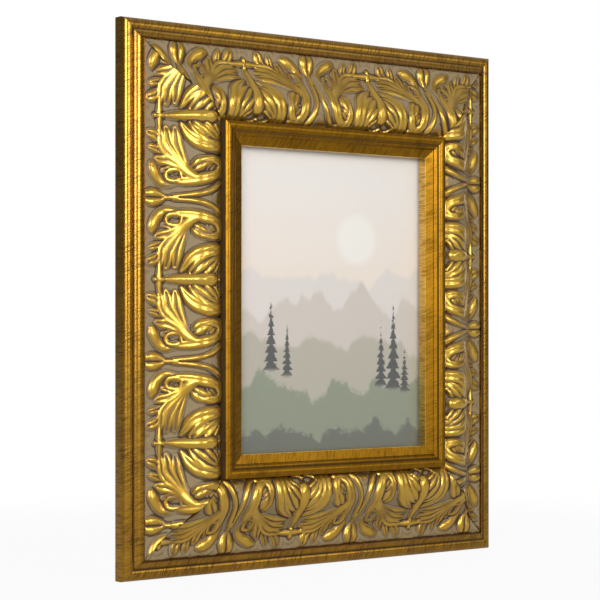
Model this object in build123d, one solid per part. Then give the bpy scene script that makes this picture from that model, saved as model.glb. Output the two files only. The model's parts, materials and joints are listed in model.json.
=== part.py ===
from build123d import *
import math
import os

# A wall-hung picture frame. Millimetres, +Z up, the wall at y = 0, the front towards -Y.
# The origin lies on the wall, midway between the two hooks that the frame hangs from.
# A moulding section is drawn in d, inwards from the outer edge, and h, out from the wall.

# Print, glazing and backing
print_width = 203.0
print_height = 254.0
print_thickness = 0.3
glass_thickness = 2.0
board_thickness = 3.0
board_play = 0.3  # the board's back lies this far inside the turn buttons' face
lip_overlap = 8.5  # glass hidden by the lip on each side
rabbet_play = 1.5  # room round the glass in its rabbet

# Outer moulding
side_wall = 7.6
bead_width = 8.8
bead_rise = 4.9
groove_rise = 3.8
ovolo_width = 6.6
ovolo_rise = 5.4
ovolo_bulge = 1.5

# Ornament band: a flat, a cove, a ramp and a dome that falls to the inner moulding
ground_drop = 2.3
flat_width = 10.2
cove_radius = 14.0
ramp_angle = 39.0
ramp_length = 21.4
dome_radius = 15.1
dome_turn = 106.0

# Inner moulding and lip
crevice_width = 0.6
ridge_width = 7.0
ridge_wall = 12.2  # the ridge's outer wall above the band's end
ridge_rise = 1.5
ridge_fall = 0.4
neck_width = 4.0
neck_drop = 2.3
neck_hollow = 0.8
slope_width = 7.0
slope_drop = 2.0
lip_depth = 8.0

# Back of the rails
back_land = 45.0  # width of the face that lies on the wall
mitre_gap = 0.1

# Ornament strips
base_thickness = 1.5
glue_gap = 0.15
strip_gap = 0.2
strip_mitre_gap = 0.6
relief_height = 3.2
dome_facets = 4  # flats of the strip and of its forms round the dome
repeat_length = 123.4
bud_offset = {"top": -18.0, "right": 22.6, "bottom": -27.0, "left": -46.5}  # rail's middle to a bud

# Plans of the raised forms on half a repeat. Each corner is (along, across): hundredths from a
# bud's axis to a bar's axis, and hundredths from the band's outer to its inner end.
bud_plan = [
    (0, 1.5),
    (9.5, 6),
    (2.4, 27),
    (4.2, 57),
    (12, 83),
    (24, 100),
    (0, 100),
]
acanthus_plan = [
    (44, 8),
    (27, 9),
    (12, 24),
    (17, 63),
    (26, 83),
    (40, 90),
    (52, 84),
    (55, 73),
    (37, 57),
    (45, 76),
    (38, 82),
    (28, 68),
    (39, 52),
    (85, 38),
    (69, 34.5),
    (86, 27),
    (70, 26.5),
    (81, 4.5),
    (64, 19),
    (62, 5.5),
    (53, 24),
    (48, 15),
    (39, 32),
    (25, 25),
]
palmette_plan = [
    (100, 16),
    (68, 19),
    (68, 23.5),
    (95.5, 24),
    (93, 56),
    (74, 66),
    (91, 44),
    (71, 54),
    (61, 75),
    (59, 100),
    (100, 100),
]
palmette_slit = [(92, 63), (73, 79), (90.5, 70)]

# Corner nails
nail_leg = 9.0
nail_height = 9.0
nail_thickness = 0.4
nail_play = 0.05
nail_depth = 0.3  # driven this far below the surface
nail_in_land = 28.0  # from the outer edge to the nail behind the band
nail_in_step = 64.0  # and to the nail in the step

# Turn buttons and their screws
button_reach = 23.5  # pivot to the end of the tip
button_width = 9.0
button_corner = 2.5
button_heel = 5.0  # pivot to the blunt end
button_thickness = 1.0
button_inset = 7.0  # rabbet wall to pivot
button_spacing = 120.0  # between the two buttons of a side
screw_radius = 1.5
screw_sides = 8  # flats round a screw and the holes for it
screw_length = 7.0  # below the head
screw_head_radius = 3.0
screw_head_height = 1.6
screw_play = 0.05  # shank to hole
screw_hole_room = 0.3  # the hole goes this much deeper than the screw

# Hangers
hook_drop = 70.0  # frame's top edge to the hooks
strap_width = 10.0
strap_length = 13.0  # barrel axis to the strap's lower end
strap_thickness = 1.0
strap_corner = 3.0
strap_inset = 19.0  # from the rabbet wall to the strap's middle
ring_wire_radius = 1.25
ring_wire_sides = 6  # flats round the wire
ring_reach = 22.0  # barrel axis to the inside of the bow
ring_corner_radius = 2.5
ring_side_play = 0.75  # barrel's end to the ring's corner
barrel_play = 0.08

# Section: points worked out from the sizes above
alpha = math.radians(ramp_angle)
beta = math.radians(dome_turn - ramp_angle)
groove_d = bead_width
groove_h = side_wall + groove_rise
band_start = groove_d + ovolo_width
ovolo_h = groove_h + ovolo_rise
ground_h = ovolo_h - ground_drop
cove_d = band_start + flat_width
cove_h = ground_h + cove_radius
ramp_d = cove_d + cove_radius * math.sin(alpha)
ramp_h = cove_h - cove_radius * math.cos(alpha)
dome_d = ramp_d + ramp_length * math.cos(alpha) + dome_radius * math.sin(alpha)
dome_h = ramp_h + ramp_length * math.sin(alpha) - dome_radius * math.cos(alpha)
band_end = dome_d + dome_radius * math.sin(beta)
band_end_h = dome_h + dome_radius * math.cos(beta)
ridge_d = band_end + crevice_width
ridge_h = band_end_h + ridge_wall
neck_d = ridge_d + ridge_width
neck_h = ridge_h - ridge_fall
slope_d = neck_d + neck_width
slope_h = neck_h - neck_drop
moulding_width = slope_d + slope_width
sight_h = slope_h - slope_drop
lip_h = sight_h - lip_depth
rabbet_d = moulding_width - lip_overlap - rabbet_play
step_h = lip_h - glass_thickness - print_thickness - board_thickness - board_play

# Overall sizes and the places that follow from them
frame_width = print_width + 2 * (moulding_width - lip_overlap)
frame_height = print_height + 2 * (moulding_width - lip_overlap)
centre_z = hook_drop - frame_height / 2
depth_room = ridge_h + ridge_rise + relief_height
seat_offset = -(base_thickness + glue_gap)
cove_length = cove_radius * alpha
dome_length = dome_radius * math.radians(dome_turn)
band_length = flat_width + cove_length + ramp_length + dome_length

# Sizes of the hardware, and the turn buttons' places as (side, along the rail from its middle)
barrel_radius = ring_wire_radius + barrel_play + strap_thickness
strap_screw_drop = (barrel_radius + strap_length) / 2
bar_length = strap_width + 2 * ring_side_play
pivot_d = rabbet_d - button_inset
buttons = {
    "top": ("top", 0),
    "bottom": ("bottom", 0),
    "left_upper": ("left", button_spacing / 2),
    "left_lower": ("left", -button_spacing / 2),
    "right_upper": ("right", -button_spacing / 2),
    "right_lower": ("right", button_spacing / 2),
}

# Side of the frame: length along the rail, half of the size across it, turn about Y
sides = {
    "top": (frame_width, frame_height / 2, 0),
    "right": (frame_height, frame_width / 2, 90),
    "bottom": (frame_width, frame_height / 2, 180),
    "left": (frame_height, frame_width / 2, -90),
}


def band_edges(offset):
    """The band's line from its outer to its inner end, moved out along its normals."""
    cove_r = cove_radius - offset
    dome_r = dome_radius + offset
    mid = (beta - alpha) / 2
    start = (band_start, ground_h + offset)
    flat_end = (cove_d, ground_h + offset)
    cove_mid = (cove_d + cove_r * math.sin(alpha / 2), cove_h - cove_r * math.cos(alpha / 2))
    ramp_start = (cove_d + cove_r * math.sin(alpha), cove_h - cove_r * math.cos(alpha))
    ramp_end = (dome_d - dome_r * math.sin(alpha), dome_h + dome_r * math.cos(alpha))
    dome_mid = (dome_d + dome_r * math.sin(mid), dome_h + dome_r * math.cos(mid))
    end = (dome_d + dome_r * math.sin(beta), dome_h + dome_r * math.cos(beta))
    edges = [
        Line(start, flat_end),
        ThreePointArc(flat_end, cove_mid, ramp_start),
        Line(ramp_start, ramp_end),
        ThreePointArc(ramp_end, dome_mid, end),
    ]
    return start, edges, end


def band_face(low, high):
    """The section from a curved line of the band to flat facets along a higher line."""
    low_start, low_edges, low_end = band_edges(low)
    cove_r = (cove_radius - high) / math.cos(alpha / 2)
    corners = [
        low_start,
        (band_start, ground_h + high),
        (cove_d + cove_r * math.sin(alpha / 2), cove_h - cove_r * math.cos(alpha / 2)),
    ]
    turn = math.radians(dome_turn) / dome_facets
    dome_r = (dome_radius + high) / math.cos(turn / 2)
    for i in range(dome_facets):
        angle = (i + 0.5) * turn - alpha
        corners.append((dome_d + dome_r * math.sin(angle), dome_h + dome_r * math.cos(angle)))
    end_r = dome_radius + high
    corners.append((dome_d + end_r * math.sin(beta), dome_h + end_r * math.cos(beta)))
    corners.append(low_end)
    return make_face([*low_edges, Polyline(*corners)])


def rail_face():
    """The wood's section, with the ornament's seat, the rabbet and the recessed step."""
    seat_start, seat_edges, seat_end = band_edges(seat_offset)
    bead_top = (bead_width / 2, side_wall + bead_rise)
    ridge_top = (ridge_d + ridge_width / 2, ridge_h + ridge_rise)
    edges = [
        Line((0, 0), (0, side_wall)),
        ThreePointArc((0, side_wall), bead_top, (groove_d, groove_h)),
        SagittaArc((groove_d, groove_h), (band_start, ovolo_h), -ovolo_bulge),
        Line((band_start, ovolo_h), seat_start),
        *seat_edges,
        Polyline(seat_end, (ridge_d, seat_end[1]), (ridge_d, ridge_h)),
        ThreePointArc((ridge_d, ridge_h), ridge_top, (neck_d, neck_h)),
        SagittaArc((neck_d, neck_h), (slope_d, slope_h), neck_hollow),
        Polyline(
            (slope_d, slope_h),
            (moulding_width, sight_h),
            (moulding_width, lip_h),
            (rabbet_d, lip_h),
            (rabbet_d, step_h),
            (back_land, step_h),
            (back_land, 0),
            (0, 0),
        ),
    ]
    return make_face(edges)


def run(face, length):
    """A section drawn out to a rail's whole length, with its outer edge at z = 0."""
    plane = Plane(origin=(0, 0, 0), x_dir=(0, 0, -1), z_dir=(-1, 0, 0))
    return extrude(plane * face, amount=length / 2, both=True)


def mitre_block(length, gap, outer, inner):
    """The space between the two mitres of a side, from d = outer to d = inner."""
    reach = length / 2 - gap / math.sqrt(2)
    corners = [
        (outer - reach, -outer),
        (reach - outer, -outer),
        (reach - inner, -inner),
        (inner - reach, -inner),
    ]
    face = make_face(Polyline(*corners, close=True))
    return extrude(Plane.XZ * face, amount=depth_room)


def developed(along, across):
    """The plan point, along the rail and in d, of a point on the tile of half a repeat."""
    s = along / 100 * repeat_length / 2
    a = across / 100 * band_length
    if a < flat_width:
        return s, band_start + a
    a -= flat_width
    if a < cove_length:
        return s, cove_d + cove_radius * math.sin(a / cove_radius)
    a -= cove_length
    if a < ramp_length:
        return s, ramp_d + a * math.cos(alpha)
    a -= ramp_length
    return s, dome_d + dome_radius * math.sin(a / dome_radius - alpha)


def form_face(corners):
    """The plan of a raised form."""
    return make_face(Polyline(*[developed(*corner) for corner in corners], close=True))


def relief(length, first_bud):
    """The acanthus forms along a rail, rooted in the strip, with tops that follow the band."""
    palmette = form_face(palmette_plan) - form_face(palmette_slit)
    half_plan = Sketch() + [form_face(bud_plan), form_face(acanthus_plan), palmette]
    other_half = mirror(half_plan, about=Plane.YZ)
    plan = Sketch()
    count = math.ceil(length / repeat_length)
    for i in range(-count, count + 1):
        place = Pos(first_bud + i * repeat_length, 0)
        plan += [place * half_plan, place * other_half]
    plane = Plane(origin=(0, 0, 0), x_dir=(1, 0, 0), z_dir=(0, 1, 0))
    forms = extrude(plane * plan, amount=-depth_room)
    return forms & run(band_face(-base_thickness / 2, relief_height), length)


def ornament(length, first_bud):
    """A strip of the ornament between its mitres, with its outer edge at z = 0."""
    strip = run(band_face(-base_thickness, 0), length) + relief(length, first_bud)
    return strip & mitre_block(length, strip_mitre_gap, band_start + strip_gap, ridge_d - strip_gap)


def rail(length):
    """A length of moulding between its mitres, with its outer edge at z = 0."""
    return run(rail_face(), length) & mitre_block(length, mitre_gap, 0, moulding_width)


def to_side(side, shape):
    """A shape drawn with its outer edge at z = 0, moved to its side of the frame."""
    _, half, turn = sides[side]
    return Pos(0, 0, centre_z) * Rot(0, turn, 0) * Pos(0, 0, half) * shape


def corner_nails(play):
    """The V nails across the four mitres, or with play their pockets, open at the back."""
    shapes = []
    for d, floor_h in ((nail_in_land, 0), (nail_in_step, step_h)):
        low = floor_h + (0 if play else nail_depth)
        high = floor_h + nail_depth + nail_height + play
        width = nail_thickness + 2 * play
        reach = nail_leg + play
        flat_leg = Pos((reach - width) / 2, 0, 0) * Box(reach + width, high - low, width)
        nail = Pos(0, -(low + high) / 2, 0) * (flat_leg + Rot(0, 90, 0) * flat_leg)
        for right, up in ((-1, 1), (1, 1), (1, -1), (-1, -1)):
            place = Pos(right * (frame_width / 2 - d), 0, centre_z + up * (frame_height / 2 - d))
            turn = {(-1, 1): 0, (1, 1): 90, (1, -1): 180, (-1, -1): 270}[(right, up)]
            shapes.append(place * Rot(0, turn, 0) * nail)
    return shapes


def pane(thickness, front_h):
    """A sheet of the print's size, with its front face at front_h."""
    return Pos(0, thickness / 2 - front_h, centre_z) * Box(print_width, thickness, print_height)


def turn_button():
    """A flat button on the step, with its pivot at the origin and its tip towards -Z."""
    length = button_heel + button_reach
    outline = Pos(0, button_heel - length / 2) * Rectangle(button_width, length)
    hole = RegularPolygon(screw_radius + screw_play, screw_sides, major_radius=False)
    outline = chamfer(outline.vertices(), button_corner) - hole
    button = extrude(Plane.XZ * outline, amount=button_thickness)
    return Pos(0, button_thickness - step_h, 0) * button


def shank(radius, length):
    """A shank from y = 0 into the wood, or the hole for it."""
    return extrude(Plane.XZ * RegularPolygon(radius, screw_sides), amount=length)


def screw():
    """A plain screw whose head stands on y = 0."""
    head = Pos(0, screw_head_height, 0) * shank(screw_head_radius, screw_head_height)
    return head + shank(screw_radius, screw_length)


def strap():
    """A hanger strap on the step, rolled round its barrel, whose axis is X through the origin."""
    plate_y = strap_thickness / 2 - barrel_radius
    flat = Pos(0, plate_y, -strap_length / 2) * Box(strap_width, strap_thickness, strap_length)
    flat = chamfer(flat.edges().filter_by(Axis.Y).group_by(Axis.Z)[0], strap_corner)
    barrel = Rot(0, 90, 0) * Cylinder(barrel_radius, strap_width)
    bore = Rot(0, 90, 0) * Cylinder(ring_wire_radius + barrel_play, strap_width)
    hole = shank(screw_radius + screw_play, strap_thickness)
    hole = Pos(0, strap_thickness - barrel_radius, -strap_screw_drop) * hole
    return flat + barrel - bore - hole


def ring():
    """A wire ring with a straight bar on X through the origin and its bow hanging below."""
    side = bar_length / 2 + ring_corner_radius
    bow_z = side - ring_reach - ring_wire_radius
    corner = bar_length / 2
    path = Wire(
        [
            Line((-corner, 0), (corner, 0)),
            CenterArc((corner, -ring_corner_radius), ring_corner_radius, 90, -90),
            Line((side, -ring_corner_radius), (side, bow_z)),
            CenterArc((0, bow_z), side, 0, -180),
            Line((-side, bow_z), (-side, -ring_corner_radius)),
            CenterArc((-corner, -ring_corner_radius), ring_corner_radius, 180, -90),
        ]
    )
    path = Plane.XZ * path
    section = RegularPolygon(ring_wire_radius, ring_wire_sides)
    wire = Plane(origin=path @ 0, z_dir=path % 0) * section
    return sweep(wire, path=path)


strap_x = frame_width / 2 - rabbet_d + strap_inset
strap_places = {
    "left": Pos(-strap_x, barrel_radius - step_h, -ring_reach),
    "right": Pos(strap_x, barrel_radius - step_h, -ring_reach),
}
button_seat = Pos(0, button_thickness - step_h, 0)
strap_seat = Pos(0, strap_thickness - barrel_radius, -strap_screw_drop)
button_places = [
    to_side(side, Pos(along, 0, -pivot_d) * button_seat) for side, along in buttons.values()
]
strap_screw_places = [place * strap_seat for place in strap_places.values()]

# Pieces by node name
parts = {}
pockets = corner_nails(nail_play)
hole = shank(screw_radius + screw_play, screw_length + screw_hole_room)
holes = [place * hole for place in button_places + strap_screw_places]
for side, (length, _, _) in sides.items():
    parts[side + "_rail"] = to_side(side, rail(length)) - pockets - holes
    parts[side + "_ornament"] = to_side(side, ornament(length, bud_offset[side]))
parts["corner_v_nails"] = Compound(children=corner_nails(0))
parts["glass_pane"] = pane(glass_thickness, lip_h)
parts["print_sheet"] = pane(print_thickness, lip_h - glass_thickness)
parts["backing_board"] = pane(board_thickness, lip_h - glass_thickness - print_thickness)
for name, (side, along) in buttons.items():
    parts["turn_button_" + name] = to_side(side, Pos(along, 0, -pivot_d) * turn_button())
parts["turn_button_screws"] = Compound(children=[place * screw() for place in button_places])
for name, place in strap_places.items():
    parts[name + "_hanger_strap"] = place * strap()
    parts[name + "_hanger_ring"] = place * ring()
parts["hanger_screws"] = Compound(children=[place * screw() for place in strap_screw_places])

os.makedirs("parts", exist_ok=True)
for name, shape in parts.items():
    export_step(shape, f"parts/{name}.step")
print(f"frame {frame_width:.1f} x {frame_height:.1f} mm, depth {ridge_h + ridge_rise:.1f} mm")
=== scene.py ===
import json
import math

import bmesh
import bpy
import numpy as np
from mathutils import Matrix, Vector


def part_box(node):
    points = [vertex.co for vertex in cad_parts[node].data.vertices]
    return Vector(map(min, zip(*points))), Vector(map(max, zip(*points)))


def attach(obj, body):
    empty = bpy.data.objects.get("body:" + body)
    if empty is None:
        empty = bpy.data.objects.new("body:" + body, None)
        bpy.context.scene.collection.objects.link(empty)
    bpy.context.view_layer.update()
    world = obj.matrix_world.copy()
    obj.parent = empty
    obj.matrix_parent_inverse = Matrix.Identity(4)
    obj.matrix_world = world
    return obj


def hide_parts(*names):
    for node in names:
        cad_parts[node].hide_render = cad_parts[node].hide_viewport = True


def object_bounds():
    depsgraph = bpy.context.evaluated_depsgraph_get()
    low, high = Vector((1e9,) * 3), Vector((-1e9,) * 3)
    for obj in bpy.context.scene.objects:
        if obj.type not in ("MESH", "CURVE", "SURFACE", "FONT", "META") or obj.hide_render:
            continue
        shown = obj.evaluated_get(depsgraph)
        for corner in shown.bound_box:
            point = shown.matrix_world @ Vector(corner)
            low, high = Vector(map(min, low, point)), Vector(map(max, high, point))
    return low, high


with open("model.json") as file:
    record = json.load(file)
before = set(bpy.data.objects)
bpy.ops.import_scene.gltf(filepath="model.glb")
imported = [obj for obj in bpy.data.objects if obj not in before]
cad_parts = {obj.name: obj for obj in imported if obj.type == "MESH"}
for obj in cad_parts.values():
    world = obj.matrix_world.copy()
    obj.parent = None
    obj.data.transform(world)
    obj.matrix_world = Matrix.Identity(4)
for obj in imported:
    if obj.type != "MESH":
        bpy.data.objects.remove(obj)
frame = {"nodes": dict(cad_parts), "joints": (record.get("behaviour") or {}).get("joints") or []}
cadLow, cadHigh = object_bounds()
nodes = frame["nodes"]
mm = 0.001
frameWidth = cadHigh.x - cadLow.x
frameHeight = cadHigh.z - cadLow.z
centre = (cadLow + cadHigh) / 2
print("frame", round(frameWidth, 4), "x", round(frameHeight, 4), "m")


# Shader sums: a Shade is one socket, and sums of Shades add Math nodes.

class Shade:
    def __init__(self, tree, socket=None):
        self.tree = tree
        self.socket = socket

    def make(self, kind, settings, inputs, output=0):
        made = self.tree.nodes.new(kind)
        for name, value in settings.items():
            setattr(made, name, value)
        for key, value in inputs.items():
            if isinstance(value, Shade):
                self.tree.links.new(value.socket, made.inputs[key])
            else:
                made.inputs[key].default_value = value
        return Shade(self.tree, made.outputs[output])

    def outputs(self, *names):           # named outputs of the node that this socket is on
        return [Shade(self.tree, self.socket.node.outputs[name]) for name in names]

    def maths(self, operation, *values):
        return self.make("ShaderNodeMath", {"operation": operation}, dict(enumerate(values)))

    def __add__(self, other):
        return self.maths("ADD", self, other)

    def __sub__(self, other):
        return self.maths("SUBTRACT", self, other)

    def __rsub__(self, other):
        return self.maths("SUBTRACT", other, self)

    def __mul__(self, other):
        return self.maths("MULTIPLY", self, other)

    def __neg__(self):
        return self.maths("MULTIPLY", self, -1.0)

    __radd__ = __add__
    __rmul__ = __mul__

    def size(self):
        return self.maths("ABSOLUTE", self)

    def root(self):
        return self.maths("SQRT", self)

    def fraction(self):
        return self.maths("FRACT", self)

    def most(self, other):
        return self.maths("MAXIMUM", self, other)

    def step(self, low, high):
        settings = {"interpolation_type": "SMOOTHSTEP"}
        return self.make("ShaderNodeMapRange", settings, {"Value": self, "From Min": low, "From Max": high})

    def mix(self, first, second):
        return self.make("ShaderNodeMix", {"data_type": "RGBA"}, {0: self, 6: first, 7: second}, output=2)


class Finish(Shade):                     # a material and its shader, with the surface's own coordinates
    def __init__(self, name, **constants):
        self.material = bpy.data.materials.new(name)
        self.material.use_nodes = True
        super().__init__(self.material.node_tree)
        self.shader = self.tree.nodes["Principled BSDF"]
        self.set(**constants)

    def set(self, **values):
        for name, value in values.items():
            socket = self.shader.inputs[name.replace("_", " ")]
            if isinstance(value, Shade):
                self.tree.links.new(value.socket, socket)
            else:
                socket.default_value = value

    def place(self):
        return self.make("ShaderNodeTexCoord", {}, {}, output=3)

    def axes(self):
        return self.make("ShaderNodeSeparateXYZ", {}, {"Vector": self.place()}).outputs(*"XYZ")

    def noise(self, scale, stretch=(1, 1, 1), turn=(0, 0, 0), detail=4.0):
        placing = {"Vector": self.place(), "Rotation": turn, "Scale": stretch}
        turned = self.make("ShaderNodeMapping", {"vector_type": "TEXTURE"}, placing)
        inputs = {"Vector": turned, "Scale": scale, "Detail": detail, "Roughness": 0.55}
        return self.make("ShaderNodeTexNoise", {}, inputs)

    def stored(self, name):
        return self.make("ShaderNodeAttribute", {"attribute_name": name}, {}, output=2)

    def bump(self, height, distance, strength):
        inputs = {"Height": height, "Distance": distance, "Strength": strength}
        self.set(Normal=self.make("ShaderNodeBump", {}, inputs))


def colour(red, green, blue):
    return (red, green, blue, 1.0)


# Gilt moulding: bronze gold hatched across the rail, red bole where it is rubbed, painted shade in the
# grooves, on the ridge's outer wall and over the sight edge, a painted reflection on the lip, and bare wood
# at the back.
# Places are measured from the rail's outer edge, and heights from the wall.

moulding = {
    "gold": colour(0.52, 0.265, 0.020),
    "toned": colour(0.15, 0.070, 0.005),
    # darker gold for the ridge and sight edge: painted shade
    "inner": colour(0.365, 0.170, 0.010),
    # paler gold on the lip face: a painted reflection of the print
    "lipReflection": colour(0.80, 0.55, 0.16),
    "bole": colour(0.33, 0.115, 0.035),
    # near-black brown: painted shade in the grooves and on the ridge's outer wall
    "hollowDark": colour(0.085, 0.05, 0.018),
    "wood": colour(0.56, 0.37, 0.20),
    "grain": colour(0.38, 0.22, 0.10),
    "rough": 0.29,
    "innerRough": 0.37,
    "brushedShine": 0.06,
    "rubbedRough": 0.2,
    "bareRough": 0.3,
    "lacquer": 0.35,
    "lacquerRough": 0.2,
    "hatchScale": 1500.0,
    "crossHatchScale": 1050.0,
    "hatchLength": 14.0,
    "hatchTurn": math.radians(25.0),
    "hatchShares": (0.8, 0.2, 0.3),      # of the hatch, the crossing hatch and the clouds
    "hatchRange": (0.27, 0.62),
    "cloudScale": 38.0,
    "rubScale": 120.0,
    "rubRange": (0.60, 0.74),
    "rubbed": 0.55,
    "innerShade": 0.85,
    # strength of the painted shade along the groove and the neck
    "grooveShade": 0.8,
    "grainScale": 160.0,
    "grainLength": 30.0,
    "grainRange": (0.35, 0.7),
    "grainRelief": 2.0,
    "reliefDepth": 0.06 * mm,
    "relief": 0.7,
    "groove": 8.8 * mm,
    "grooveReach": (0.2 * mm, 1.7 * mm),
    "recess": (44.8 * mm, 45.0 * mm),
    "ridge": 75.04 * mm,
    "ridgeReach": (0.05 * mm, 0.35 * mm),
    "ridgeStart": (74.04 * mm, 75.04 * mm),
    "neck": 82.6 * mm,
    "neckReach": (0.2 * mm, 1.5 * mm),
    "lipFace": (92.74 * mm, 92.94 * mm),
    "backHeight": (0.1 * mm, 0.5 * mm),
    "lipHeight": (24.9 * mm, 25.0 * mm),
    "ridgeHeight": (36.0 * mm, 37.0 * mm),
}


def mouldingFinish(name, upright):
    finish = Finish(name, Coat_Roughness=moulding["lacquerRough"])
    x, y, z = finish.axes()
    hatch, fibre, turn = moulding["hatchLength"], moulding["grainLength"], moulding["hatchTurn"]
    if upright:
        across = frameWidth / 2 - x.size()
        hatch = (hatch, hatch, 1)
        fibre = (1, 1, fibre)
        turn = -turn
    else:
        across = frameHeight / 2 - (z - centre.z).size()
        hatch = (1, hatch, hatch)
        fibre = (fibre, 1, 1)
    height = -y

    def line(place, reach):              # 1 on a line along the rail, and 0 beside it
        return 1 - (across - moulding[place]).size().step(*moulding[reach])

    lean = finish.noise(moulding["hatchScale"], hatch, (0, turn, 0), detail=2.0)
    fall = finish.noise(moulding["crossHatchScale"], hatch, (0, -turn / 2, 0))
    cloud = finish.noise(moulding["cloudScale"], detail=3.0)
    leanShare, fallShare, cloudShare = moulding["hatchShares"]
    brushed = (lean * leanShare + fall * fallShare + (cloud - 0.5) * cloudShare).step(*moulding["hatchRange"])
    gilt = brushed.mix(moulding["toned"], moulding["gold"])
    rubbed = finish.noise(moulding["rubScale"], detail=6.0).step(*moulding["rubRange"]) * moulding["rubbed"]
    gilt = rubbed.mix(gilt, moulding["bole"])
    inRecess = across.step(*moulding["recess"]) * (1 - height.step(*moulding["lipHeight"]))
    bare = inRecess.most(1 - height.step(*moulding["backHeight"]))
    inner = across.step(*moulding["ridgeStart"])
    # painted shade: the ridge and sight edge turn a darker gold
    gilt = (inner * moulding["innerShade"]).mix(gilt, brushed.mix(moulding["toned"], moulding["inner"]))
    # painted reflection: the lip face turns a paler gold
    lip = across.step(*moulding["lipFace"])
    gilt = lip.mix(gilt, brushed.mix(moulding["inner"], moulding["lipReflection"]))
    # painted shade: the ridge's outer wall is made dark, dull and not metallic
    wallShade = line("ridge", "ridgeReach") * (1 - height.step(*moulding["ridgeHeight"]))
    gilt = wallShade.mix(gilt, moulding["hollowDark"])
    # painted shade along the groove and the neck
    grooveShade = line("groove", "grooveReach").most(line("neck", "neckReach")) * moulding["grooveShade"]
    gilt = grooveShade.mix(gilt, moulding["hollowDark"])
    grain = finish.noise(moulding["grainScale"], fibre, detail=6.0).step(*moulding["grainRange"])
    wood = grain.mix(moulding["wood"], moulding["grain"])
    rough = moulding["rough"] + inner * (moulding["innerRough"] - moulding["rough"])
    rough = rough - brushed * moulding["brushedShine"] + rubbed * moulding["rubbedRough"]
    finish.set(
        Base_Color=bare.mix(gilt, wood),
        Metallic=(1 - bare) * (1 - wallShade),
        Coat_Weight=(1 - bare) * (1 - inner) * moulding["lacquer"],
        Roughness=rough + (bare + wallShade) * moulding["bareRough"],
    )
    relief = lean * (1 - bare) + grain * bare * moulding["grainRelief"]
    finish.bump(relief, moulding["reliefDepth"], moulding["relief"])
    return finish.material


flatGilt = mouldingFinish("gilt moulding across", False)
uprightGilt = mouldingFinish("gilt moulding upright", True)


def dress(name, material):
    mesh = nodes[name].data
    mesh.materials.clear()
    mesh.materials.append(material)


def addPiece(name, shell, material, sharp=40):
    mesh = bpy.data.meshes.new(name)
    shell.to_mesh(mesh)
    shell.free()
    mesh.shade_smooth()
    mesh.set_sharp_from_angle(angle=math.radians(sharp))
    mesh.materials.append(material)
    piece = bpy.data.objects.new(name, mesh)
    bpy.context.scene.collection.objects.link(piece)
    return piece


railGilt = {"top": flatGilt, "bottom": flatGilt, "left": uprightGilt, "right": uprightGilt}
for side, material in railGilt.items():
    dress(side + "_rail", material)
print("rails gilded")


# Ornament: acanthus relief on a band that is flat, hollow, sloped and domed from its outer to its inner edge.
# It is drawn on half a repeat, in mm, and mirrored at the bud's axis and at the bar's axis.

band = {
    "start": 15.4,
    "flat": 10.2,
    "coveRadius": 14.0,
    "rampAngle": math.radians(39.0),
    "ramp": 21.4,
    "domeRadius": 15.1,
    "domeTurn": math.radians(106.0),
    "ground": 14.5,
    "base": 1.5,
    "edgeGap": 0.2,
    "mitreGap": 0.6,
    "ridge": 75.04,
    "cell": 0.56,
}
coveLength = band["coveRadius"] * band["rampAngle"]
domeLength = band["domeRadius"] * band["domeTurn"]
bandLength = band["flat"] + coveLength + band["ramp"] + domeLength
repeat = 123.4
half = repeat / 2
budAt = {"top": -18.0, "right": 22.6, "bottom": -27.0, "left": -46.5}
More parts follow.
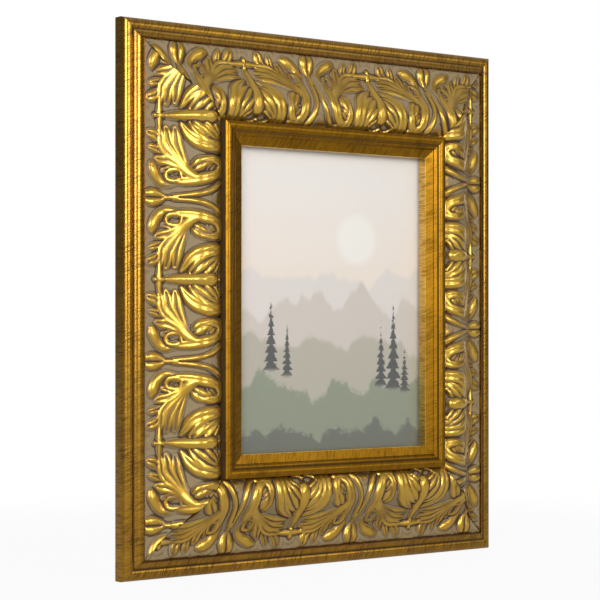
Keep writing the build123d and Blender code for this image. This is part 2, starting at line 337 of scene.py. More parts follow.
# A stroke's points are (along, across, half-width, height), from the bud's axis and the band's outer edge.
# A petal is its root, belly and tip, its half-width and its height. Crest is the power of the round section.
sprays = {
    "bud": {
        "crest": 2.2,
        "strokes": [
            [(2.9, 2.4, 2.4, 2.5), (3.3, 7, 3.2, 3.7), (2.4, 13, 2.5, 3.3), (0.7, 18.5, 1.1, 2.3)],
            [(0, 5, 0.9, 1.9), (0, 12, 1.0, 2.1), (0, 19, 1.4, 2.5), (0, 28, 2.1, 2.9)],
        ],
    },
    "rib": {
        "crest": 1.7,
        "strokes": [
            [
                (1.2, 25, 1.6, 2.6), (1.9, 37, 1.8, 3.0), (3.6, 47, 1.8, 3.0),
                (6.5, 55, 2.2, 3.4), (10.2, 62, 2.8, 4.0), (15, 68.5, 3.4, 4.0),
            ],
        ],
    },
    "plaque": {
        "crest": 4.0,
        "strokes": [
            [(0, 58, 2.6, 1.4), (0, 62, 4.8, 2.2), (0, 66.5, 7.2, 2.4)],
            [(0, 65.0, 1.1, 3.2), (7.4, 64.6, 1.1, 3.2)],
        ],
    },
    "hook": {
        "crest": 1.6,
        "furrow": 0.24,
        "strokes": [
            [
                (12.0, 22, 2.2, 2.2), (12.6, 32, 3.6, 3.4), (13.6, 42, 4.0, 4.0),
                (15.6, 51, 3.8, 4.5), (18.6, 58.5, 3.8, 5.0), (24, 62.2, 4.2, 5.0),
                (28, 59.2, 3.5, 4.8), (29.2, 52.5, 2.8, 3.9), (28.2, 46.5, 1.8, 2.8),
            ],
        ],
        "petals": [
            ((29.2, 54), (26.6, 46.6), (22.2, 40), 3.8, 3.8),
            ((29, 60), (25.6, 55), (21.4, 51), 3.0, 3.4),
        ],
    },
    "hookFoot": {
        "crest": 4.0,
        "strokes": [
            [(18.5, 63.5, 3.6, 4.2), (23.5, 65, 4.6, 4.6), (28.5, 63.5, 3.4, 4.2)],
            [(17, 68.5, 3.4, 4.2), (23, 68.5, 4.0, 4.4), (28.5, 68.5, 3.2, 4.2)],
        ],
    },
    "scroll": {
        "crest": 2.0,
        "strokes": [
            [
                (12.6, 29, 2.0, 2.6), (12.4, 24.5, 2.2, 2.8), (13.6, 20.6, 2.2, 2.8),
                (17, 19.2, 1.8, 2.7), (20.4, 21.2, 1.4, 2.6), (21.6, 25.2, 1.3, 2.6),
                (20.4, 29, 1.4, 2.6), (17, 31, 1.8, 2.8), (14, 31.5, 2.0, 2.8),
            ],
            [
                (9.6, 27, 1.2, 1.6), (10, 18, 3.0, 2.6), (14.2, 11.8, 3.8, 3.2),
                (20.5, 8.2, 4.0, 3.4), (25, 6.6, 2.6, 2.5),
            ],
        ],
    },
    "fan": {
        "crest": 1.7,
        "strokes": [
            [
                (13.6, 46, 2.6, 3.0), (17.5, 37.5, 4.6, 3.4), (23, 31, 6.0, 2.9),
                (30, 25, 7.8, 2.9), (37, 20.5, 8.0, 2.7), (43.5, 18.5, 5.8, 2.2),
            ],
        ],
        "petals": [
            ((18.5, 36), (22.2, 27), (20.4, 16.2), 2.6, 3.3),
            ((20, 35), (27.2, 22.5), (29.4, 11.2), 3.5, 3.8),
            ((31, 23), (35.8, 12.5), (38.2, 4.2), 2.4, 3.0),
            ((39, 17), (46.2, 10), (48.8, 3.4), 3.2, 3.4),
            ((22.5, 33.5), (36.4, 17.6), (52, 13.4), 3.5, 4.2),
            ((24, 33.5), (39.6, 22.4), (52.5, 19.2), 3.4, 4.0),
            ((24, 34.5), (38.8, 28), (52, 26), 3.4, 3.7),
        ],
    },
    "rod": {
        "crest": 2.2,
        "strokes": [
            [(45, 14.3, 1.4, 2.6), (52, 13.4, 1.8, 3.0), (59, 13.2, 2.6, 3.4), (half, 13.2, 2.7, 3.4)],
            [(half, 9.4, 1.7, 3.6), (half, 17.2, 1.7, 3.7)],
        ],
    },
    "leaf": {
        "crest": 2.0,
        "furrow": 0.24,
        "strokes": [
            [
                (39.6, 69, 4.4, 4.6), (39.2, 60, 4.5, 4.9), (40.2, 51, 4.8, 4.8),
                (43, 43, 4.8, 4.4), (48, 36.5, 3.8, 4.0), (55.4, 30.8, 1.4, 2.6),
            ],
            [(44, 68.5, 5.6, 4.2), (44, 60, 5.0, 4.2), (45.6, 52, 4.8, 3.6)],
        ],
        "petals": [
            ((42.5, 57), (48.2, 47), (56.6, 38.6), 4.0, 4.7),
            ((43.5, 61.5), (49.8, 52.6), (56.8, 46.2), 3.6, 4.8),
            ((44.5, 65), (50, 58), (56, 54.4), 2.7, 4.6),
        ],
    },
    "foot": {
        "crest": 4.0,
        "strokes": [[(38, 68.4, 1.9, 3.0), (50, 68.4, 1.9, 3.0), (half, 68.4, 1.9, 3.0)]],
    },
    "heart": {
        "crest": 2.0,
        "strokes": [
            [
                (49, 60, 1.2, 4.0), (51.4, 63.8, 1.2, 3.8), (55.6, 65.6, 1.2, 3.6),
                (59.4, 64.8, 1.2, 3.6), (half, 62.8, 1.2, 3.6),
            ],
        ],
    },
    "bar": {
        "crest": 1.5,
        "strokes": [
            [
                (half, 18, 2.2, 2.2), (half, 28, 3.4, 3.4), (half, 42, 4.4, 4.5),
                (half, 51, 5.4, 4.8), (half, 55.5, 4.6, 4.4),
            ],
        ],
    },
}
carving = {
    "softness": 0.45,
    "fullness": 0.62,
    "curveSteps": 16,
    "tileStep": 0.2,
    "thinnest": 0.2,
    "swell": 1.3,
    "petalSwell": 1.15,
    "petalFurrow": 0.34,
    "petalLate": 0.6,
    "petalTaper": ((0.45, 0.75), (1.0, 1.0), (0.95, 0.95), (0.55, 0.65)),    # of its half-width and height
    "veinWidth": 0.36,
    "cushion": 1.0,
    "cushionReach": 3.0,
    "cushionEdge": 0.5,
    "cushionBlur": 12,
    "grooveBlur": 6,
    "hollowBlur": 22,
    "most": 38.7,
    "edgeFade": 1.5,
    "leastInward": 0.001,
    "leastOutward": 0.3,
    "mitrePasses": 3,
    "beyond": 9.0,                       # above every height, and every share of a half-width that counts
}


def petalStroke(root, belly, tip, width, height):
    share = carving["petalLate"]
    late = [(1 - share) * mid + share * end for mid, end in zip(belly, tip)]
    width = width * carving["petalSwell"]
    places = zip((root, belly, late, tip), carving["petalTaper"])
    return [(*place, wide * width, high * height) for place, (wide, high) in places]


def curveThrough(points):                            # a smooth curve through the stroke's points
    points = np.array(points, float)
    ends = [2 * points[0] - points[1], *points, 2 * points[-1] - points[-2]]
    part = np.linspace(0, 1, carving["curveSteps"], endpoint=False)[:, None]
    line = []
    for before, first, second, after in zip(ends, ends[1:], ends[2:], ends[3:]):
        leave = (second - before) / 2
        arrive = (after - first) / 2
        rise = second - first
        bend = 3 * rise - 2 * leave - arrive
        line.append(first + leave * part + bend * part**2 + (leave + arrive - 2 * rise) * part**3)
    line = np.vstack([*line, points[-1]])
    line[:, 2:] = np.maximum(line[:, 2:], carving["thinnest"])
    line[:, 2] *= carving["swell"]
    return line


def strokeBulge(line, crest, furrow, along, across):  # the height that one stroke gives at each point
    least = np.full_like(along, carving["beyond"])
    top = np.zeros_like(along)
    for first, second in zip(line, line[1:]):
        run = second[:2] - first[:2]
        share = np.clip(((along - first[0]) * run[0] + (across - first[1]) * run[1]) / (run @ run), 0, 1)
        away = np.hypot(along - first[0] - share * run[0], across - first[1] - share * run[1])
        part = away / (first[2] + share * (second[2] - first[2]))
        closer = part < least
        least = np.where(closer, part, least)
        top = np.where(closer, first[3] + share * (second[3] - first[3]), top)
    vein = 1 - furrow * np.exp(-((least / carving["veinWidth"]) ** 2))
    return top * vein * np.clip(1 - least**crest, 0, 1) ** carving["fullness"]


def sprayRelief(spray, along, across):               # strokes of one spray flow into each other
    mass = np.zeros_like(along)
    soft = carving["softness"]
    strokes = [(points, spray.get("furrow", 0)) for points in spray["strokes"]]
    strokes += [(petalStroke(*petal), carving["petalFurrow"]) for petal in spray.get("petals", [])]
    for points, furrow in strokes:
        line = curveThrough(points)
        reach = line[:, 2].max()
        near = (along > line[:, 0].min() - reach) & (along < line[:, 0].max() + reach)
        near &= (across > line[:, 1].min() - reach) & (across < line[:, 1].max() + reach)
        bulge = strokeBulge(line, spray["crest"], furrow, along[near], across[near])
        old = mass[near]
        blend = np.clip(soft - np.abs(old - bulge), 0, None) ** 2 / (4 * soft) * (old > 0)
        mass[near] = np.where(bulge > 0, np.maximum(old, bulge) + blend, old)
    return mass


def widened(spray):                                  # the same spray, grown by the cushion that it lies on
    grow = carving["cushionReach"]
    strokes = spray["strokes"] + [petalStroke(*petal) for petal in spray.get("petals", [])]
    grown = [
        [(along, across, width + grow, height) for along, across, width, height in points]
        for points in strokes
    ]
    return {"crest": spray["crest"], "strokes": grown}


def blurred(values, times):
    for _ in range(times):
        padded = np.pad(values, 1, mode="edge")
        around = padded[:-2, 1:-1] + padded[2:, 1:-1] + padded[1:-1, :-2] + padded[1:-1, 2:]
        values = (around + 2 * values) / 6
    return values


def reliefTile():                                    # heights on half a repeat, at even steps
    alongSteps = np.arange(0, half + carving["tileStep"], carving["tileStep"])
    acrossSteps = np.arange(0, bandLength + carving["tileStep"], carving["tileStep"])
    along, across = np.meshgrid(alongSteps, acrossSteps)
    forms = np.max([sprayRelief(spray, along, across) for spray in sprays.values()], axis=0)
    wide = np.max([sprayRelief(widened(spray), along, across) for spray in sprays.values()], axis=0)
    rim = blurred(np.clip(wide / carving["cushionEdge"], 0, 1), carving["cushionBlur"])
    return forms, np.maximum(forms, carving["cushion"] * rim)


def reliefHeight(tile, along, across):               # reads the tile between its steps, mirrored at both axes
    column = np.abs((along + half) % repeat - half) / carving["tileStep"]
    row = across / carving["tileStep"]
    left = np.minimum(column.astype(int), tile.shape[1] - 2)
    upper = np.minimum(row.astype(int), tile.shape[0] - 2)
    column, row = column - left, row - upper
    above = tile[upper, left] * (1 - column) + tile[upper, left + 1] * column
    below = tile[upper + 1, left] * (1 - column) + tile[upper + 1, left + 1] * column
    return above * (1 - row) + below * row


def bandGround(across):                              # (depth from the outer edge, height, normal) on the band
    sine, cosine = math.sin(band["rampAngle"]), math.cos(band["rampAngle"])
    cove, dome = band["coveRadius"], band["domeRadius"]
    coveDepth = band["start"] + band["flat"]
    rampDepth = coveDepth + cove * sine
    rampRise = band["ground"] + cove * (1 - cosine)
    domeDepth = rampDepth + band["ramp"] * cosine + dome * sine
    domeRise = rampRise + band["ramp"] * sine - dome * cosine
    coveTurn = np.clip((across - band["flat"]) / cove, 0, band["rampAngle"])
    domeTurn = np.clip((across - bandLength) / dome, -band["domeTurn"], 0)
    domeTurn = domeTurn + band["domeTurn"] - band["rampAngle"]
    onRamp = across - band["flat"] - coveLength
    spots = [across < band["flat"], onRamp < 0, onRamp < band["ramp"]]
    depth = np.select(
        spots,
        [band["start"] + across, coveDepth + cove * np.sin(coveTurn), rampDepth + onRamp * cosine],
        domeDepth + dome * np.sin(domeTurn),
    )
    rise = np.select(
        spots,
        [band["ground"], band["ground"] + cove * (1 - np.cos(coveTurn)), rampRise + onRamp * sine],
        domeRise + dome * np.cos(domeTurn),
    )
    lean = np.select(spots, [0.0, -coveTurn, -band["rampAngle"]], domeTurn)
    return depth, rise, np.sin(lean), np.cos(lean)


sideAxes = {
    "top": (Vector((1, 0, 0)), Vector((0, 0, -1)), frameWidth, frameHeight),
    "right": (Vector((0, 0, -1)), Vector((-1, 0, 0)), frameHeight, frameWidth),
    "bottom": (Vector((-1, 0, 0)), Vector((0, 0, 1)), frameWidth, frameHeight),
    "left": (Vector((0, 0, 1)), Vector((1, 0, 0)), frameHeight, frameWidth),
}


def ornamentPiece(side, tiles, material):
    alongAxis, inward, length, span = sideAxes[side]
    outer = centre - inward * span / 2 - Vector((0, centre.y, 0))
    reach = length / 2 / mm - band["mitreGap"] / math.sqrt(2)
    columns = int(2 * (reach - band["start"]) / band["cell"])
    rows = int(bandLength / band["cell"])
    shell = bmesh.new()
    giltLayer = shell.verts.layers.float.new("gilt")
    hollowLayer = shell.verts.layers.float.new("hollow")
    grooveLayer = shell.verts.layers.float.new("groove")
    bmesh.ops.create_grid(shell, x_segments=columns, y_segments=rows, size=1.0)
    gridVerts = list(shell.verts)
    flat = np.array([vertex.co for vertex in gridVerts])
    share = flat[:, 0]
    across = band["edgeGap"] + (flat[:, 1] + 1) / 2 * (bandLength - band["edgeGap"])
    depth, rise, leanIn, leanOut = bandGround(across)
    toRidge = (band["ridge"] - band["edgeGap"] - depth) / np.maximum(leanIn, carving["leastInward"])
    room = np.where(leanIn > 0, toRidge, carving["beyond"])
    room = np.minimum(room, (carving["most"] - rise) / np.maximum(leanOut, carving["leastOutward"]))
    fade = np.clip(across / carving["edgeFade"], 0, 1)
    raised = np.zeros_like(share)
    for _ in range(carving["mitrePasses"]):          # a raised point moves the mitre that cuts it
        along = share * (reach - depth - raised * leanIn)
        raised = np.minimum(reliefHeight(tiles[1], along - budAt[side], across) * fade, room)
    forms = reliefHeight(tiles[0], along - budAt[side], across)
    table = blurred(raised.reshape(rows + 1, columns + 1), 1)
    hollow = (blurred(table, carving["hollowBlur"]) - table).ravel()
    bare = forms.reshape(table.shape)
    groove = (blurred(bare, carving["grooveBlur"]) - bare).ravel()
    raised = table.ravel()
    alongAxis, inward, outer = np.array(alongAxis), np.array(inward), np.array(outer)

    def places(offset):
        inset = depth + offset * leanIn
        spots = np.outer(share * (reach - inset), alongAxis) + np.outer(inset, inward)
        return outer + mm * (spots - np.outer(rise + offset * leanOut, (0, 1, 0)))

    boundary = [edge for edge in shell.edges if edge.is_boundary]
    skirt = bmesh.ops.extrude_edge_only(shell, edges=boundary)["geom"]
    shell.verts.index_update()
    source = {}
    for vertex in skirt:
        if isinstance(vertex, bmesh.types.BMVert):
            source[vertex] = min(edge.other_vert(vertex).index for edge in vertex.link_edges)
    for vertex, spot, form, dip, cut in zip(gridVerts, places(raised), forms, hollow, groove):
        vertex.co = spot
        vertex[giltLayer] = form
        vertex[hollowLayer] = dip
        vertex[grooveLayer] = cut
    seats = places(np.full_like(raised, -band["base"]))
    for vertex, index in source.items():
        vertex.co = seats[index]
    under = {index: vertex for vertex, index in source.items()}
    corners = {}
    for index, vertex in under.items():              # the long sides fan out from the four lower corners
        row, column = divmod(index, columns + 1)
        if 0 < column < columns:
            end = 0 if column < columns / 2 else columns
            corners[vertex] = under[row * (columns + 1) + end]
    ends = []
    for column in (0, columns):
        chain = [under[row * (columns + 1) + column] for row in range(rows + 1)]
        ends += [shell.edges.get(pair) for pair in zip(chain, chain[1:])]
    bmesh.ops.weld_verts(shell, targetmap=corners)
    bmesh.ops.bridge_loops(shell, edges=ends)
    bmesh.ops.recalc_face_normals(shell, faces=shell.faces)
    piece = addPiece(side + "_gilt_ornament", shell, material, sharp=70)
    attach(piece, "frame")
    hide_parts(side + "_ornament")


leafGold = {
    "gold": colour(0.74, 0.45, 0.055),
    # olive on the lower parts of the forms: partly burnished gilding, partly painted shade
    "oliveShade": colour(0.28, 0.135, 0.020),
    # near-black painted shadow for the grooves and the feet of the forms
    "creviceShadow": colour(0.050, 0.020, 0.006),
    "ground": colour(0.325, 0.24, 0.122),
    "groundHollowDark": colour(0.17, 0.115, 0.052),
    "bole": colour(0.42, 0.16, 0.05),
    "rough": 0.29,
    "groundRough": 0.62,
    "wornRough": 0.2,
    "metal": 0.88,
    "lacquer": 0.5,
    "lacquerRough": 0.16,
    "speckScale": 420.0,
    "cloudScale": 70.0,
    "patchScale": 24.0,
    "wear": (2.6, 2.0),                  # how far clouds and patches shift the gilding's edge
    "proud": (0.8, 1.4),                 # what height gives and what a hollow takes
    "giltRange": (0.7, 2.1),
    "burnishAndShadeRange": (1.0, 3.0),
    "dust": 0.6,
    "dustSpecks": (0.56, 0.70),
    "dustPatches": (0.46, 0.62),
    "shares": (0.6, 0.4),                # of clouds and specks where rubbed, the other way round in the grain
    "rubbed": 0.3,
    "rubRange": (0.56, 0.66),
    "hollowDarkSpecks": 0.4,
    "hollowDarkRange": (0.1, 0.9),
    "footRise": (0.01, 0.15),
    "footEnd": (0.35, 1.3),
    "footClouds": (0.3, 0.6),
    "foot": 0.4,
    "slit": (0.6, 1.6),                  # on the ground, and more between petals
    "slitRise": (0.6, 1.6),
    "slitNoise": (0.1, 0.24),             # of specks and clouds
    "creviceShadeRange": (0.06, 0.30),
    "creviceShade": 0.9,
    "grainDepth": 0.12 * mm,
    "grain": 0.6,
}


def ornamentFinish():
    finish = Finish("gold leaf ornament", Coat_Roughness=leafGold["lacquerRough"])
    raised = finish.stored("gilt")
    dip = finish.stored("hollow")
    cut = finish.stored("groove")
    speck = finish.noise(leafGold["speckScale"], detail=5.0)
    cloud = finish.noise(leafGold["cloudScale"], detail=4.0)
    patch = finish.noise(leafGold["patchScale"], detail=2.0)
    cloudWear, patchWear = leafGold["wear"]
    gain, loss = leafGold["proud"]
    worn = (cloud - 0.5) * cloudWear + (patch - 0.5) * patchWear
    proud = raised * gain - dip * loss + worn
    dust = speck.step(*leafGold["dustSpecks"]) * patch.step(*leafGold["dustPatches"])
    gilt = proud.step(*leafGold["giltRange"])
    gilt = gilt.most(dust * leafGold["dust"])        # some gold is left on the ground
    # gold on the high points, olive lower down: partly burnished gilding, partly painted shade
    burnishAndShade = proud.step(*leafGold["burnishAndShadeRange"])
    leaf = burnishAndShade.mix(leafGold["oliveShade"], leafGold["gold"])
    more, less = leafGold["shares"]
    rubbed = (cloud * more + speck * less).step(*leafGold["rubRange"]) * leafGold["rubbed"]
    leaf = rubbed.mix(leaf, leafGold["bole"])
    # the ground is darker in the hollows beside the forms, with specks
    hollowDark = (dip + (speck - 0.5) * leafGold["hollowDarkSpecks"]).step(*leafGold["hollowDarkRange"])
    ground = hollowDark.mix(leafGold["ground"], leafGold["groundHollowDark"])
    # painted shade at the feet of the forms
    foot = raised.step(*leafGold["footRise"]) * (1 - raised.step(*leafGold["footEnd"]))
    foot = foot * cloud.step(*leafGold["footClouds"]) * leafGold["foot"]
    onGround, betweenPetals = leafGold["slit"]
    # painted shadow in the grooves between petals and around the forms
    slit = cut * (onGround + raised.step(*leafGold["slitRise"]) * betweenPetals)
    speckNoise, cloudWear = leafGold["slitNoise"]
    slit = slit + (speck - 0.5) * speckNoise + (cloud - 0.5) * cloudWear
    # the painted shadow takes the near-black colour and loses its metal
    creviceShade = slit.step(*leafGold["creviceShadeRange"]).most(foot)
    rough = leafGold["groundRough"] - gilt * (leafGold["groundRough"] - leafGold["rough"])
    finish.set(
        Base_Color=(creviceShade * leafGold["creviceShade"]).mix(gilt.mix(ground, leaf), leafGold["creviceShadow"]),
        Metallic=gilt * (1 - creviceShade) * leafGold["metal"],
        Coat_Weight=burnishAndShade * leafGold["lacquer"],
        Roughness=rough + (creviceShade + rubbed) * leafGold["wornRough"],
    )
    finish.bump(speck * more + cloud * less, leafGold["grainDepth"], leafGold["grain"])
    return finish.material


ornamentGilt = ornamentFinish()
tiles = reliefTile()
for side in sideAxes:
    ornamentPiece(side, tiles, ornamentGilt)
print("ornament made")


# Glass and print: misty hills in cream, peach and soft green, with a few dark firs

picture = {
    "halfWidth": 93.0 * mm,
    "halfHeight": 118.5 * mm,
    "sky": colour(0.93, 0.89, 0.84),
    "glow": colour(0.95, 0.83, 0.72),
    "sun": colour(0.98, 0.95, 0.88),
    "fir": colour(0.035, 0.04, 0.035),
    "paperRough": 0.45,
    "skyFade": (1.0, -0.1),
    "sunAt": (0.3, 0.42),
    "sunShape": 0.62,
    "sunEdge": (0.13, 0.2),
    "raggedScale": 90.0,
    "ragged": 0.05,
    "treeScale": 420.0,
    "mist": (-0.01, 0.04),
    "ridges": [                          # level, swing, pitch, shift, height of its trees, colour
        (0.20, 0.30, 1.3, 3.0, 0.00, colour(0.82, 0.765, 0.715)),
        (0.00, 0.34, 1.9, 7.0, 0.02, colour(0.70, 0.63, 0.56)),
        (-0.26, 0.26, 1.6, 11.0, 0.06, colour(0.51, 0.475, 0.375)),
        (-0.56, 0.22, 2.2, 17.0, 0.10, colour(0.265, 0.30, 0.20)),
        (-0.86, 0.16, 3.1, 23.0, 0.14, colour(0.115, 0.13, 0.095)),
    ],
    "tiers": 9.0,
    "tierTaper": (1.25, 0.7),
    "twigs": 0.05,
    "firEdge": (0.0, 0.015),
    "firFoot": (-0.02, 0.02),
    "firs": [                            # place, foot, height, half-width
        (-0.62, -0.46, 0.52, 0.075),
        (-0.45, -0.50, 0.36, 0.06),
        (0.58, -0.58, 0.44, 0.07),
        (0.72, -0.60, 0.62, 0.085),
        (0.85, -0.62, 0.34, 0.06),
    ],
}


def printFinish():
    finish = Finish("paper print", Roughness=picture["paperRough"])
    x, _, z = finish.axes()
    right = x * (1 / picture["halfWidth"])
    up = (z - centre.z) * (1 / picture["halfHeight"])
    view = up.step(*picture["skyFade"]).mix(picture["sky"], picture["glow"])
    sunX, sunZ = right - picture["sunAt"][0], up - picture["sunAt"][1]
    away = (sunX * sunX * picture["sunShape"] + sunZ * sunZ).root()
    view = (1 - away.step(*picture["sunEdge"])).mix(view, picture["sun"])
    ragged = (finish.noise(picture["raggedScale"], detail=5.0) - 0.5) * picture["ragged"]
    leafy = finish.noise(picture["treeScale"], detail=3.0) - 0.5
    for level, swing, pitch, shift, trees, tint in picture["ridges"]:
        outline = {"W": right * pitch + shift, "Scale": 1.0, "Detail": 3.0}
        line = finish.make("ShaderNodeTexNoise", {"noise_dimensions": "1D"}, outline)
        crest = line * (swing * 2) + (level - swing) + ragged + leafy * trees
        view = (crest - up).step(*picture["mist"]).mix(view, tint)
    full, taper = picture["tierTaper"]
    for at, foot, tall, wide in picture["firs"]:
        rise = up - foot
        tier = (rise * (picture["tiers"] / tall)).fraction()
        branch = (tall - rise) * (wide / tall) * (full - tier * taper) + leafy * picture["twigs"]
        inside = (branch - (right - at).size()).step(*picture["firEdge"]) * rise.step(*picture["firFoot"])
        view = inside.mix(view, picture["fir"])
    finish.set(Base_Color=view)
    return finish.material


glass = {"clear": 0.1 * mm, "edge": 0.3 * mm, "rough": 0.04, "alpha": 0.05}


def glassFinish():
    finish = Finish("clear glass", Base_Color=colour(1, 1, 1), Roughness=glass["rough"], Alpha=glass["alpha"])
    finish.material.surface_render_method = "BLENDED"
    return finish.material


def glassPiece(material):                            # a pane with ground edges, clear of the print behind it
    low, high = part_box("glass_pane")
    high = Vector(high) - Vector((0, glass["clear"], 0))
    low = Vector(low)
    shell = bmesh.new()
    bmesh.ops.create_cube(shell, size=1.0)
    bmesh.ops.scale(shell, vec=high - low, verts=shell.verts)
    bmesh.ops.translate(shell, vec=(low + high) / 2, verts=shell.verts)
    edges = shell.edges[:]
    bmesh.ops.bevel(
        shell, geom=edges, offset=glass["edge"], affect="EDGES", segments=2, profile=0.5, material=-1,
    )
    pane = addPiece("glass_sheet", shell, material)
    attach(pane, "frame")
    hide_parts("glass_pane")


dress("print_sheet", printFinish())
glassPiece(glassFinish())
print("picture framed")


# Back: fibre board, plated steel and nails

back = {
    "board": colour(0.30, 0.185, 0.095),
    "boardDark": colour(0.20, 0.115, 0.055),
    "feltScale": 650.0,
    "feltCloudScale": 30.0,
    "feltShares": (0.7, 0.5),            # of the felt and its clouds
    "feltRange": (0.4, 0.8),
    "feltRough": (0.7, 0.15),
    "feltDepth": 0.15 * mm,
    "feltRelief": 0.6,
    "plate": colour(0.66, 0.64, 0.60),
    "nail": colour(0.34, 0.33, 0.32),
    "dull": colour(0.40, 0.39, 0.37),
    "plateRough": 0.42,
    "nailRough": 0.4,
    "dullRough": 0.2,
    "scratchScale": 900.0,
    "scratchLength": 9.0,
    "scratchTurn": 0.5,
    "scratchDepth": 0.03 * mm,
    "scratchRelief": 0.5,
    "tarnishScale": 110.0,
    "tarnishShares": (0.4, 0.7),         # of the scratches and the clouds
    "tarnishRange": (0.42, 0.72),
}


def boardFinish():
    finish = Finish("fibre board")
    felt = finish.noise(back["feltScale"], detail=6.0)
    cloud = finish.noise(back["feltCloudScale"])
    feltShare, cloudShare = back["feltShares"]
    dark = (felt * feltShare + cloud * cloudShare).step(*back["feltRange"])
    rough, rougher = back["feltRough"]
    finish.set(Base_Color=dark.mix(back["board"], back["boardDark"]), Roughness=rough + felt * rougher)
    finish.bump(felt, back["feltDepth"], back["feltRelief"])
    return finish.material


def steelFinish(name, bright, rough):
    finish = Finish(name, Metallic=1.0)
    length, turn = back["scratchLength"], back["scratchTurn"]
    scratch = finish.noise(back["scratchScale"], (1, 1, length), (0, turn, 0))
    cloud = finish.noise(back["tarnishScale"])
    scratchShare, cloudShare = back["tarnishShares"]
    worn = (scratch * scratchShare + cloud * cloudShare).step(*back["tarnishRange"])
    finish.set(Base_Color=worn.mix(bright, back["dull"]), Roughness=rough + worn * back["dullRough"])
    finish.bump(scratch, back["scratchDepth"], back["scratchRelief"])
    return finish.material


plated = steelFinish("plated steel", back["plate"], back["plateRough"])
nailSteel = steelFinish("nail steel", back["nail"], back["nailRough"])
dress("backing_board", boardFinish())
dress("corner_v_nails", nailSteel)
for name in nodes:
    if "button" in name or "hanger" in name:
        dress(name, plated)

fittings = {
    "headRadius": 3.0 * mm,
    "headHeight": 1.6 * mm,
    "headEdge": 1.0 * mm,
    "headCrown": (0.35, 0.3),            # of the edge, in and down
    "shankRadius": 1.45 * mm,
    "shankLength": 7.0 * mm,
    "recessHalf": 0.45 * mm,
    "recessReach": 1.6 * mm,
    "recessDepth": 0.9 * mm,
    "turnSteps": 32,
    "screwTurn": 0.7,
    "wire": 1.2 * mm,
    "wireSides": 16,
    "barHalf": 5.75 * mm,
    "ringCorner": 2.5 * mm,
    "ringSide": 12.5 * mm,
    "cornerSteps": 6,
    "bowSteps": 24,
    "weld": 0.01 * mm,
    "tiny": 0.001 * mm,
}


def screwShape():                                    # a round head with a cross recess, standing on y = 0
    radius, height, edge = fittings["headRadius"], fittings["headHeight"], fittings["headEdge"]
    shank, length = fittings["shankRadius"], fittings["shankLength"]
    shell = bmesh.new()
    inward, down = fittings["headCrown"]
    outline = [(0, height), (radius - edge, height), (radius - inward * edge, height - down * edge)]
    outline += [(radius, height - edge), (radius, 0), (shank, 0), (shank, -length), (0, -length)]
    profile = [shell.verts.new((away, up, 0)) for away, up in outline]
    lines = [shell.edges.new(pair) for pair in zip(profile, profile[1:])]
    turning = {"cent": (0, 0, 0), "axis": (0, 1, 0), "angle": math.tau, "steps": fittings["turnSteps"]}
    bmesh.ops.spin(shell, geom=profile + lines, use_merge=True, **turning)
    bmesh.ops.remove_doubles(shell, verts=shell.verts, dist=fittings["tiny"])
    bmesh.ops.recalc_face_normals(shell, faces=shell.faces)

    def topFaces():
        return [face for face in shell.faces if face.calc_center_median().y > height - fittings["tiny"]]

    narrow, reach = fittings["recessHalf"], fittings["recessReach"]
    for cut in (-reach, -narrow, narrow, reach):
        for across in (Vector((1, 0, 0)), Vector((0, 0, 1))):
            top = topFaces()
            around = [edge for face in top for edge in face.edges]
            around += [vertex for face in top for vertex in face.verts]
            cutting = top + list(dict.fromkeys(around))
            bmesh.ops.bisect_plane(shell, geom=cutting, plane_co=across * cut, plane_no=across)
    recess = []
    for face in topFaces():
        middle = face.calc_center_median()
        inner, outer = sorted((abs(middle.x), abs(middle.z)))
        if inner < narrow and outer < reach:
            recess.append(face)
    sunk = bmesh.ops.extrude_face_region(shell, geom=recess)["geom"]
    floor = [item for item in sunk if isinstance(item, bmesh.types.BMVert)]
    bmesh.ops.translate(shell, verts=floor, vec=(0, -fittings["recessDepth"], 0))
    bmesh.ops.recalc_face_normals(shell, faces=shell.faces)
    mesh = bpy.data.meshes.new("screw")
    shell.to_mesh(mesh)
    shell.free()
    return mesh


def screwGroup(name, node, places):                  # screws at (x, z), with heads where the node has them
    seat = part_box(node)[1][1] - fittings["headHeight"]
    shell = bmesh.new()
    for index, (x, z) in enumerate(places):
        before = len(shell.verts)
        shell.from_mesh(screwMesh)
        made = shell.verts[before:]
        turn = Matrix.Rotation(fittings["screwTurn"] * index, 3, "Y")
        bmesh.ops.rotate(shell, verts=made, cent=(0, 0, 0), matrix=turn)
        bmesh.ops.translate(shell, verts=made, vec=(x, seat, z))
    group = addPiece(name, shell, plated)
    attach(group, "frame")
    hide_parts(node)


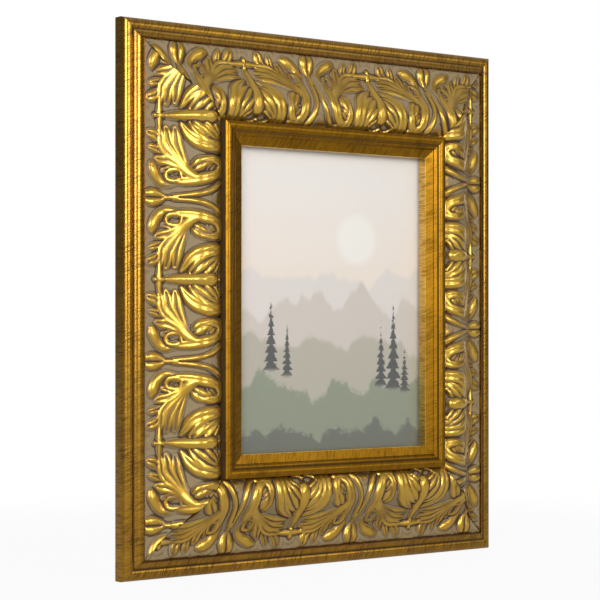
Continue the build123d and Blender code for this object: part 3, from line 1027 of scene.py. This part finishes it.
def wireRing(name, body, place):                     # round wire bent round its barrel and into a bow
    bar, corner, side = fittings["barHalf"], fittings["ringCorner"], fittings["ringSide"]
    shell = bmesh.new()
    bmesh.ops.create_circle(shell, segments=fittings["wireSides"], radius=fittings["wire"])
    upright = Matrix.Rotation(math.pi / 2, 3, "Y")
    bmesh.ops.rotate(shell, verts=shell.verts, cent=(0, 0, 0), matrix=upright)
    end = shell.edges[:]

    def run(end, x, z):
        made = bmesh.ops.extrude_edge_only(shell, edges=end)["geom"]
        moved = [item for item in made if isinstance(item, bmesh.types.BMVert)]
        bmesh.ops.translate(shell, verts=moved, vec=(x, 0, z))
        edges = [item for item in made if isinstance(item, bmesh.types.BMEdge)]
        return [edge for edge in edges if all(vertex in moved for vertex in edge.verts)]

    def bend(end, x, z, angle, steps):
        points = list(dict.fromkeys(vertex for edge in end for vertex in edge.verts))
        turning = {"cent": (x, 0, z), "axis": (0, 1, 0), "angle": angle, "steps": steps}
        made = bmesh.ops.spin(shell, geom=points + end, **turning)
        return [item for item in made["geom_last"] if isinstance(item, bmesh.types.BMEdge)]

    end = run(end, bar, 0)
    end = bend(end, bar, -corner, math.pi / 2, fittings["cornerSteps"])
    end = run(end, 0, -side)
    end = bend(end, 0, -corner - side, math.pi, fittings["bowSteps"])
    end = run(end, 0, side)
    end = bend(end, -bar, -corner, math.pi / 2, fittings["cornerSteps"])
    run(end, bar, 0)
    bmesh.ops.remove_doubles(shell, verts=shell.verts, dist=fittings["weld"])
    bmesh.ops.recalc_face_normals(shell, faces=shell.faces)
    bmesh.ops.translate(shell, verts=shell.verts, vec=place)
    ring = addPiece(name, shell, plated)
    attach(ring, body)
    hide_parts(body)


pivots = {joint["child"]: Vector(joint["pos_m"]) for joint in frame["joints"]}
strapLow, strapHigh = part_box("hanger_screws")
strapScrewZ = (strapLow[2] + strapHigh[2]) / 2
buttonPlaces = [(at.x, at.z) for body, at in pivots.items() if "button" in body]
strapPlaces = [(at.x, strapScrewZ) for body, at in pivots.items() if "ring" in body]
screwMesh = screwShape()
screwGroup("button_screws", "turn_button_screws", buttonPlaces)
screwGroup("strap_screws", "hanger_screws", strapPlaces)
for hand in ("left", "right"):
    wireRing(hand + "_wire_ring", hand + "_hanger_ring", pivots[hand + "_hanger_ring"])
bpy.data.meshes.remove(screwMesh)
print("back dressed")


# Studio: a white sweep, soft lamps on the left, in front, on the right and behind, and the photograph's view

studio = {
    "floorSize": 6.0,
    "floorDrop": 0.5 * mm,
    "floorRough": 0.9,
    "floorGlow": 0.94,
    "floorWhite": 1.0,
    "floorNear": (0.30, 0.75),
    "floorShine": 0.25,
    "floorColour": colour(0.5, 0.5, 0.5),
    "room": 0.13,
    "above": 0.34,
    "backdrop": 0.6,
    "backdropEdge": (0.60, 0.86),
    "backdropTop": (0.3, 0.65),
    "lamps": [                           # name, place, size and power
        ("key", (-1.55, -1.62, 0.45), 0.9, 23.0),
        ("front", (0.05, -2.4, 0.35), 0.8, 14.0),
        ("fill", (1.35, -1.95, 0.6), 1.0, 4.0),
        ("behind", (1.0, 2.2, 0.15), 1.0, 12.0),
    ],
    "eye": Vector((-0.9432, -1.2248, -0.1635)),
    "turn": math.radians(37.25),
    "lens": 114.6,
    "lift": 0.0477,
}


def makeWorld():
    world = bpy.data.worlds.new("studio")
    world.use_nodes = True
    bpy.context.scene.world = world
    sky = Shade(world.node_tree)
    paths = sky.make("ShaderNodeLightPath", {}, {})
    seen, glossy, through = paths.outputs("Is Camera Ray", "Is Glossy Ray", "Is Transmission Ray")
    direction = sky.make("ShaderNodeTexCoord", {}, {}, output=0)
    right, behind, above = sky.make("ShaderNodeSeparateXYZ", {}, {"Vector": direction}).outputs(*"XYZ")
    ahead = right * math.sin(studio["turn"]) + behind * math.cos(studio["turn"])
    sweep = ahead.step(*studio["backdropEdge"]) * (1 - above.step(*studio["backdropTop"]))
    level = sweep * studio["backdrop"] + above.step(0, 1) * studio["above"] + studio["room"]
    shown = seen.most(through).most(glossy * sweep).most(level)
    light = world.node_tree.nodes["Background"]
    light.inputs["Color"].default_value = colour(1, 1, 1)
    world.node_tree.links.new(shown.socket, light.inputs["Strength"])


def makeFloor():                                     # white to the eye, with the shadow kept near the object
    shell = bmesh.new()
    bmesh.ops.create_grid(shell, x_segments=1, y_segments=1, size=studio["floorSize"])
    bmesh.ops.translate(shell, verts=shell.verts, vec=(0, 0, cadLow.z - studio["floorDrop"]))
    finish = Finish("white floor", Base_Color=studio["floorColour"], Roughness=studio["floorRough"])
    finish.set(Specular_IOR_Level=0.0)
    seen, glossy = finish.make("ShaderNodeLightPath", {}, {}).outputs("Is Camera Ray", "Is Glossy Ray")
    x, y, _ = finish.axes()
    far = (x * x + y * y).root().step(*studio["floorNear"])
    white = seen * (studio["floorGlow"] + far * (1 - studio["floorGlow"]))
    white = white.most(glossy * studio["floorShine"])
    glow = finish.make("ShaderNodeEmission", {}, {"Color": colour(1, 1, 1), "Strength": studio["floorWhite"]})
    surface = Shade(finish.tree, finish.shader.outputs[0])
    blend = finish.make("ShaderNodeMixShader", {}, {0: white, 1: surface, 2: glow})
    output = finish.tree.nodes["Material Output"]
    finish.tree.links.new(blend.socket, output.inputs["Surface"])
    floor = addPiece("floor", shell, finish.material)


def makeLamps():
    for name, place, size, power in studio["lamps"]:
        data = bpy.data.lights.new(name, "AREA")
        data.shape = "SQUARE"
        data.size = size
        data.energy = power
        lamp = bpy.data.objects.new(name, data)
        lamp.location = place
        lamp.rotation_euler = (centre - lamp.location).to_track_quat("-Z", "Y").to_euler()
        bpy.context.scene.collection.objects.link(lamp)


def makeCamera():
    data = bpy.data.cameras.new("camera")
    data.lens = studio["lens"]
    data.shift_y = studio["lift"]
    camera = bpy.data.objects.new("camera", data)
    camera.location = studio["eye"]
    camera.rotation_euler = (math.pi / 2, 0, -studio["turn"])
    bpy.context.scene.collection.objects.link(camera)
    bpy.context.scene.camera = camera


makeWorld()
makeFloor()
makeLamps()
makeCamera()
bpy.context.scene.view_settings.view_transform = "Standard"
print("studio set")
